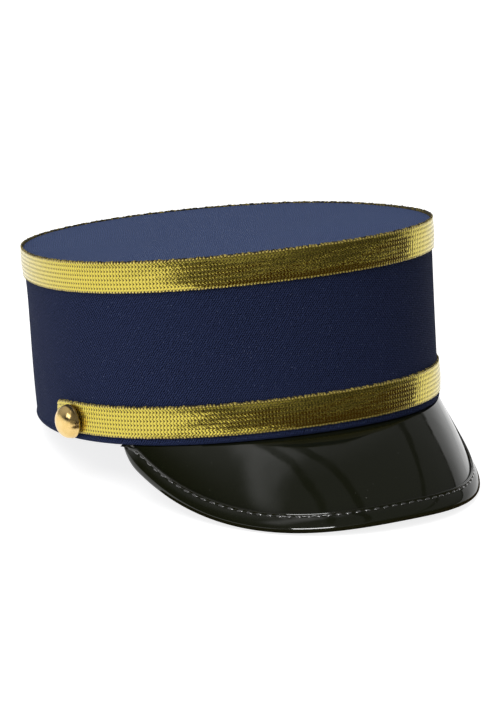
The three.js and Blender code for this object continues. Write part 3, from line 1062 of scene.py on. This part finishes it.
# %% Stitches
nothing_selected()
bpy.ops.mesh.primitive_uv_sphere_add(segments=10, ring_count=7, radius=1)
stitch = named("stitch")
stitch_shape = get_points(stitch) * np.array([1.50, 0.52, 0.22]) * MM
stitch_shape[:, 2] -= 0.10 * MM * (stitch_shape[:, 0] / MM) ** 2
copies = []
seam = np.arange(stitch_pitch * 3.5, edge_way[-1] - 3 * stitch_pitch, stitch_pitch)
for k, place_along in enumerate(seam):
    angle_here = np.array([np.interp(place_along, edge_way, fine_angle)])
    forward = edge_direction(angle_here)[0]
    reach_here = fold_reach(angle_here, binding_width, upper_rim_gap)
    way_here = peak_length(angle_here) - valley_across * reach_here
    normal = peak_normals(angle_here, way_here)[0]
    centre = peak_points(angle_here, way_here)[0] + normal * (clearance + 0.76 * binding_thickness)
    sideways = np.cross(normal, forward)
    tilt = 0.12 * math.sin(2.1 * k)
    forward_here = forward * math.cos(tilt) + sideways * math.sin(tilt)
    sideways = np.cross(normal, forward_here)
    copy = stitch.copy()
    copy.data = stitch.data.copy()
    bpy.context.scene.collection.objects.link(copy)
    basis = np.stack([forward_here, sideways, normal])
    set_points(copy, stand(centre + stitch_shape @ basis))
    copies.append(copy)
bpy.data.objects.remove(stitch)
nothing_selected()
for copy in copies:
    copy.select_set(True)
bpy.context.view_layer.objects.active = copies[0]
bpy.ops.object.join()
stitches = named("binding_stitches")
smooth(stitches, 80)
finish_piece(stitches, [], thread_finish)
print("stitches:", len(seam))

# %% [markdown]
# The studio. The hat stands on a light table: a pale floor that glows a little, so it stays
# plain and white as in a catalogue picture. Two large soft lamps light the hat from the
# upper left and from behind, and show in no reflection. A low soft lamp lights only the
# peak and its binding, and draws the bright line on the rolled edge. A very small one gives
# the buttons their spark.

# %% Floor
nothing_selected()
bpy.ops.mesh.primitive_circle_add(vertices=64, radius=6, fill_type="NGON", location=(0, 0, 0))
floor = named("floor")
floor_recipe = Recipe("pale_floor")
floor_place = floor_recipe.add("ShaderNodeTexCoord").outputs["Object"]
floor_tone = floor_recipe.noise(floor_place, 3.0)
floor_recipe.set_skin(
    Base_Color=floor_recipe.mix_colours(floor_tone, (0.43, 0.43, 0.43), (0.46, 0.46, 0.46)),
    Roughness=0.9,
    Specular_IOR_Level=0.0,
    Emission_Color=(1.0, 1.0, 1.0),
    Emission_Strength=0.82,
)
floor.data.materials.append(floor_recipe.finish)


# %% Lamps
def towards(azimuth, elevation, distance):
    a, e = math.radians(azimuth), math.radians(elevation)
    return Vector((math.sin(a) * math.cos(e), -math.cos(a) * math.cos(e), math.sin(e))) * distance


def soft_lamp(name, azimuth, elevation, distance, width, height, watts):
    lamp_data = bpy.data.lights.new(name, "AREA")
    lamp_data.shape = "RECTANGLE"
    lamp_data.size = width
    lamp_data.size_y = height
    lamp_data.energy = watts
    lamp = bpy.data.objects.new(name, lamp_data)
    bpy.context.scene.collection.objects.link(lamp)
    aim = Vector((0, 0, 0.05))
    lamp.location = aim + towards(azimuth, elevation, distance)
    lamp.rotation_euler = (lamp.location - aim).to_track_quat("Z", "Y").to_euler()
    lamp.visible_camera = False
    return lamp


for name, azimuth, elevation, watts in (("left_softbox", -62, 58, 30.0), ("right_softbox", 130, 62, 12.0)):
    lamp = soft_lamp(name, azimuth, elevation, 2.2, 1.6, 1.6, watts)
    lamp.visible_glossy = False
low_strip = soft_lamp("low_strip", -30, 14, 1.5, 0.56, 0.40, 12.0)
flagged = bpy.data.collections.new("lit_by_low_strip")
for piece in (peak, binding, stitches):
    flagged.objects.link(piece)
low_strip.light_linking.receiver_collection = flagged
spark = soft_lamp("button_lamp", -74, 44, 0.10, 0.052, 0.040, 0.020)
brass_only = bpy.data.collections.new("lit_by_button_lamp")
for name in ("brass_button_right", "brass_button_left"):
    brass_only.objects.link(bpy.data.objects[name])
spark.light_linking.receiver_collection = brass_only
spark.location += Vector((-0.094, -0.004, -0.024))

# %% [markdown]
# Patent sheet, foil and brass show their surroundings more than themselves. The table in
# front of the hat ends in the dark of the room, so a large dark card lies there, and a small
# one under the peak. They are never seen directly: both show in reflections, and the large
# one also dims the light that the table gives back.

# %% Dark cards
def dark_card(name, radius, place, cuts, unseen_by):
    nothing_selected()
    bpy.ops.mesh.primitive_circle_add(vertices=72, radius=radius, fill_type="NGON", location=place)
    bpy.ops.object.transform_apply(location=True, rotation=False, scale=False)
    card = named(name)
    edit(card)
    for start_x, start_y, azimuth, keep in cuts:
        turn = math.radians(azimuth)
        bpy.ops.mesh.select_all(action="SELECT")
        bpy.ops.mesh.bisect(
            plane_co=(start_x, start_y, 0),
            plane_no=(-keep * math.cos(turn), -keep * math.sin(turn), 0),
            use_fill=False,
            clear_outer=True,
            clear_inner=False,
        )
    bpy.ops.object.mode_set(mode="OBJECT")
    card.data.materials.append(card_finish)
    for ray in unseen_by:
        setattr(card, "visible_" + ray, False)
    print(name, "corners:", len(card.data.vertices))


card_recipe = Recipe("black_card")
card_recipe.set_skin(Base_Color=(0.050, 0.028, 0.010), Roughness=1.0, Specular_IOR_Level=0.0)
card_finish = card_recipe.finish
far_cuts = ((-0.26, -0.330, -58.5, 1), (0.05, -0.09, 77, -1), (0, -0.015, -90, 1))
unseen = ("camera", "transmission", "volume_scatter", "shadow")
dark_card("far_card", 3, (0, 0, MM), far_cuts, unseen)
near_cuts = ((0, -0.045, -90, 1), (0.08, 0, 0, -1))
dark_card("near_card", 0.14, (0, -0.05, MM / 2), near_cuts, unseen + ("diffuse",))

# %% [markdown]
# The room itself is the world: dim in front but for low bright bands that the braids
# show, a soft glow high up on the left, a bright backdrop low on the right, and a few thin
# dark lines where its panels meet. The patent peak shows them as a grey patch, a bright
# right side and dark streaks.

# %% Helpers for the room
room = Recipe("studio", world=True)
view = room.add("ShaderNodeTexCoord").outputs["Generated"]


def facing(way):
    node = room.add("ShaderNodeVectorMath", operation="DOT_PRODUCT")
    room.join(view, node.inputs[0])
    node.inputs[1].default_value = tuple(way)
    return node.outputs["Value"]


def glow(azimuth, elevation, inner, outer, strength_there):
    inner_share, outer_share = math.cos(math.radians(inner)), math.cos(math.radians(outer))
    return room.between(
        facing(towards(azimuth, elevation, 1)), outer_share, inner_share, 0.0, strength_there
    )


def below_line(first, second):
    """Positive below the great circle through two directions, negative above it."""
    normal = towards(*second, 1).cross(towards(*first, 1)).normalized()
    if normal.z > 0:
        normal.negate()
    return facing(normal)


# %% Bright parts of the room
patch_lean = Vector((0, 0, -0.25))
across_patch = facing(towards(39, 0, 1) + patch_lean)
patch = room.times(
    room.between(across_patch, -0.33, -0.26, 0.0, 0.60), room.between(across_patch, -0.12, -0.26)
)
patch = room.times(patch, room.between(facing(towards(-51, 76, 1)), 0.80, 0.95))
light = room.plus(patch, glow(-160, 42, 10, 62, 0.45))
low_line = below_line((114, 27), (90, 18))
low_right = room.plus(
    room.between(low_line, -0.004, 0.02, 0.0, 0.42), room.between(low_line, 0.03, 0.40, 0.0, 0.60)
)
low_right = room.times(low_right, room.between(facing(towards(118, 5, 1)), 0.55, 0.78))
light = room.plus(light, low_right)
height = facing(Vector((0, 0, 1)))
low_front = room.times(
    room.between(height, 0.11, 0.16, 0.0, 0.3), room.between(height, 0.34, 0.26)
)
low_front = room.times(low_front, room.between(facing(towards(-28, 0, 1)), 0.82, 0.92))
light = room.plus(light, low_front)
low_left = room.times(
    room.between(height, 0.15, 0.09),
    room.between(facing(towards(-100, 0, 1)), 0.60, 0.72, 0.0, 1.1),
)
light = room.plus(light, low_left)
dim = room.times(
    room.between(facing(towards(60, 50, 1)), -0.2, 0.6, 0.02, 0.15),
    room.between(height, 0.05, 0.5, 0.25, 1.0),
)
light = room.plus(light, dim)

# %% Dark lines of the room
for first, second, width in (
    ((124, 73), (12, 57), 0.038),
    ((135, 78), (-20, 57), 0.032),
    ((114, 40), (62, 41), 0.028),
    ((114, 27), (90, 18), 0.016),
):
    line = room.calc("ABSOLUTE", below_line(first, second))
    ahead = room.between(facing(towards(first[0], 30, 1)), -0.2, 0.1)
    line = room.calc("SUBTRACT", 1.0, room.between(line, width * 0.6, width, 0.0, 1.0))
    line = room.times(line, ahead)
    light = room.times(light, room.calc("SUBTRACT", 1.0, room.times(line, 0.7)))

# %% The room's strength
seen = room.add("ShaderNodeLightPath")
even = room.plus(room.times(seen.outputs["Is Camera Ray"], 0.6), 0.4)
strength = room.add("ShaderNodeMix")
room.join(seen.outputs["Is Glossy Ray"], strength.inputs["Factor"])
room.join(even, strength.inputs["A"])
room.join(light, strength.inputs["B"])
room.join(strength.outputs["Result"], room.skin.inputs["Strength"])
room.skin.inputs["Color"].default_value = (1, 1, 1, 1)
bpy.context.scene.world = room.finish
bpy.context.scene.view_settings.view_transform = "Standard"

# %% [markdown]
# The camera stands to the front and to the wearer's right, a little above the hat, with a
# long lens, as for a catalogue picture.

# %% Camera
camera_data = bpy.data.cameras.new("camera")
camera_data.lens = 141.27
camera_data.sensor_width = 36
camera_data.clip_end = 50
camera = bpy.data.objects.new("camera", camera_data)
camera.location = (-0.70042, -0.99986, 0.45504)
camera.rotation_euler = tuple(math.radians(v) for v in (71.32695, -1.64083, -34.59321))
bpy.context.scene.collection.objects.link(camera)
bpy.context.scene.camera = camera
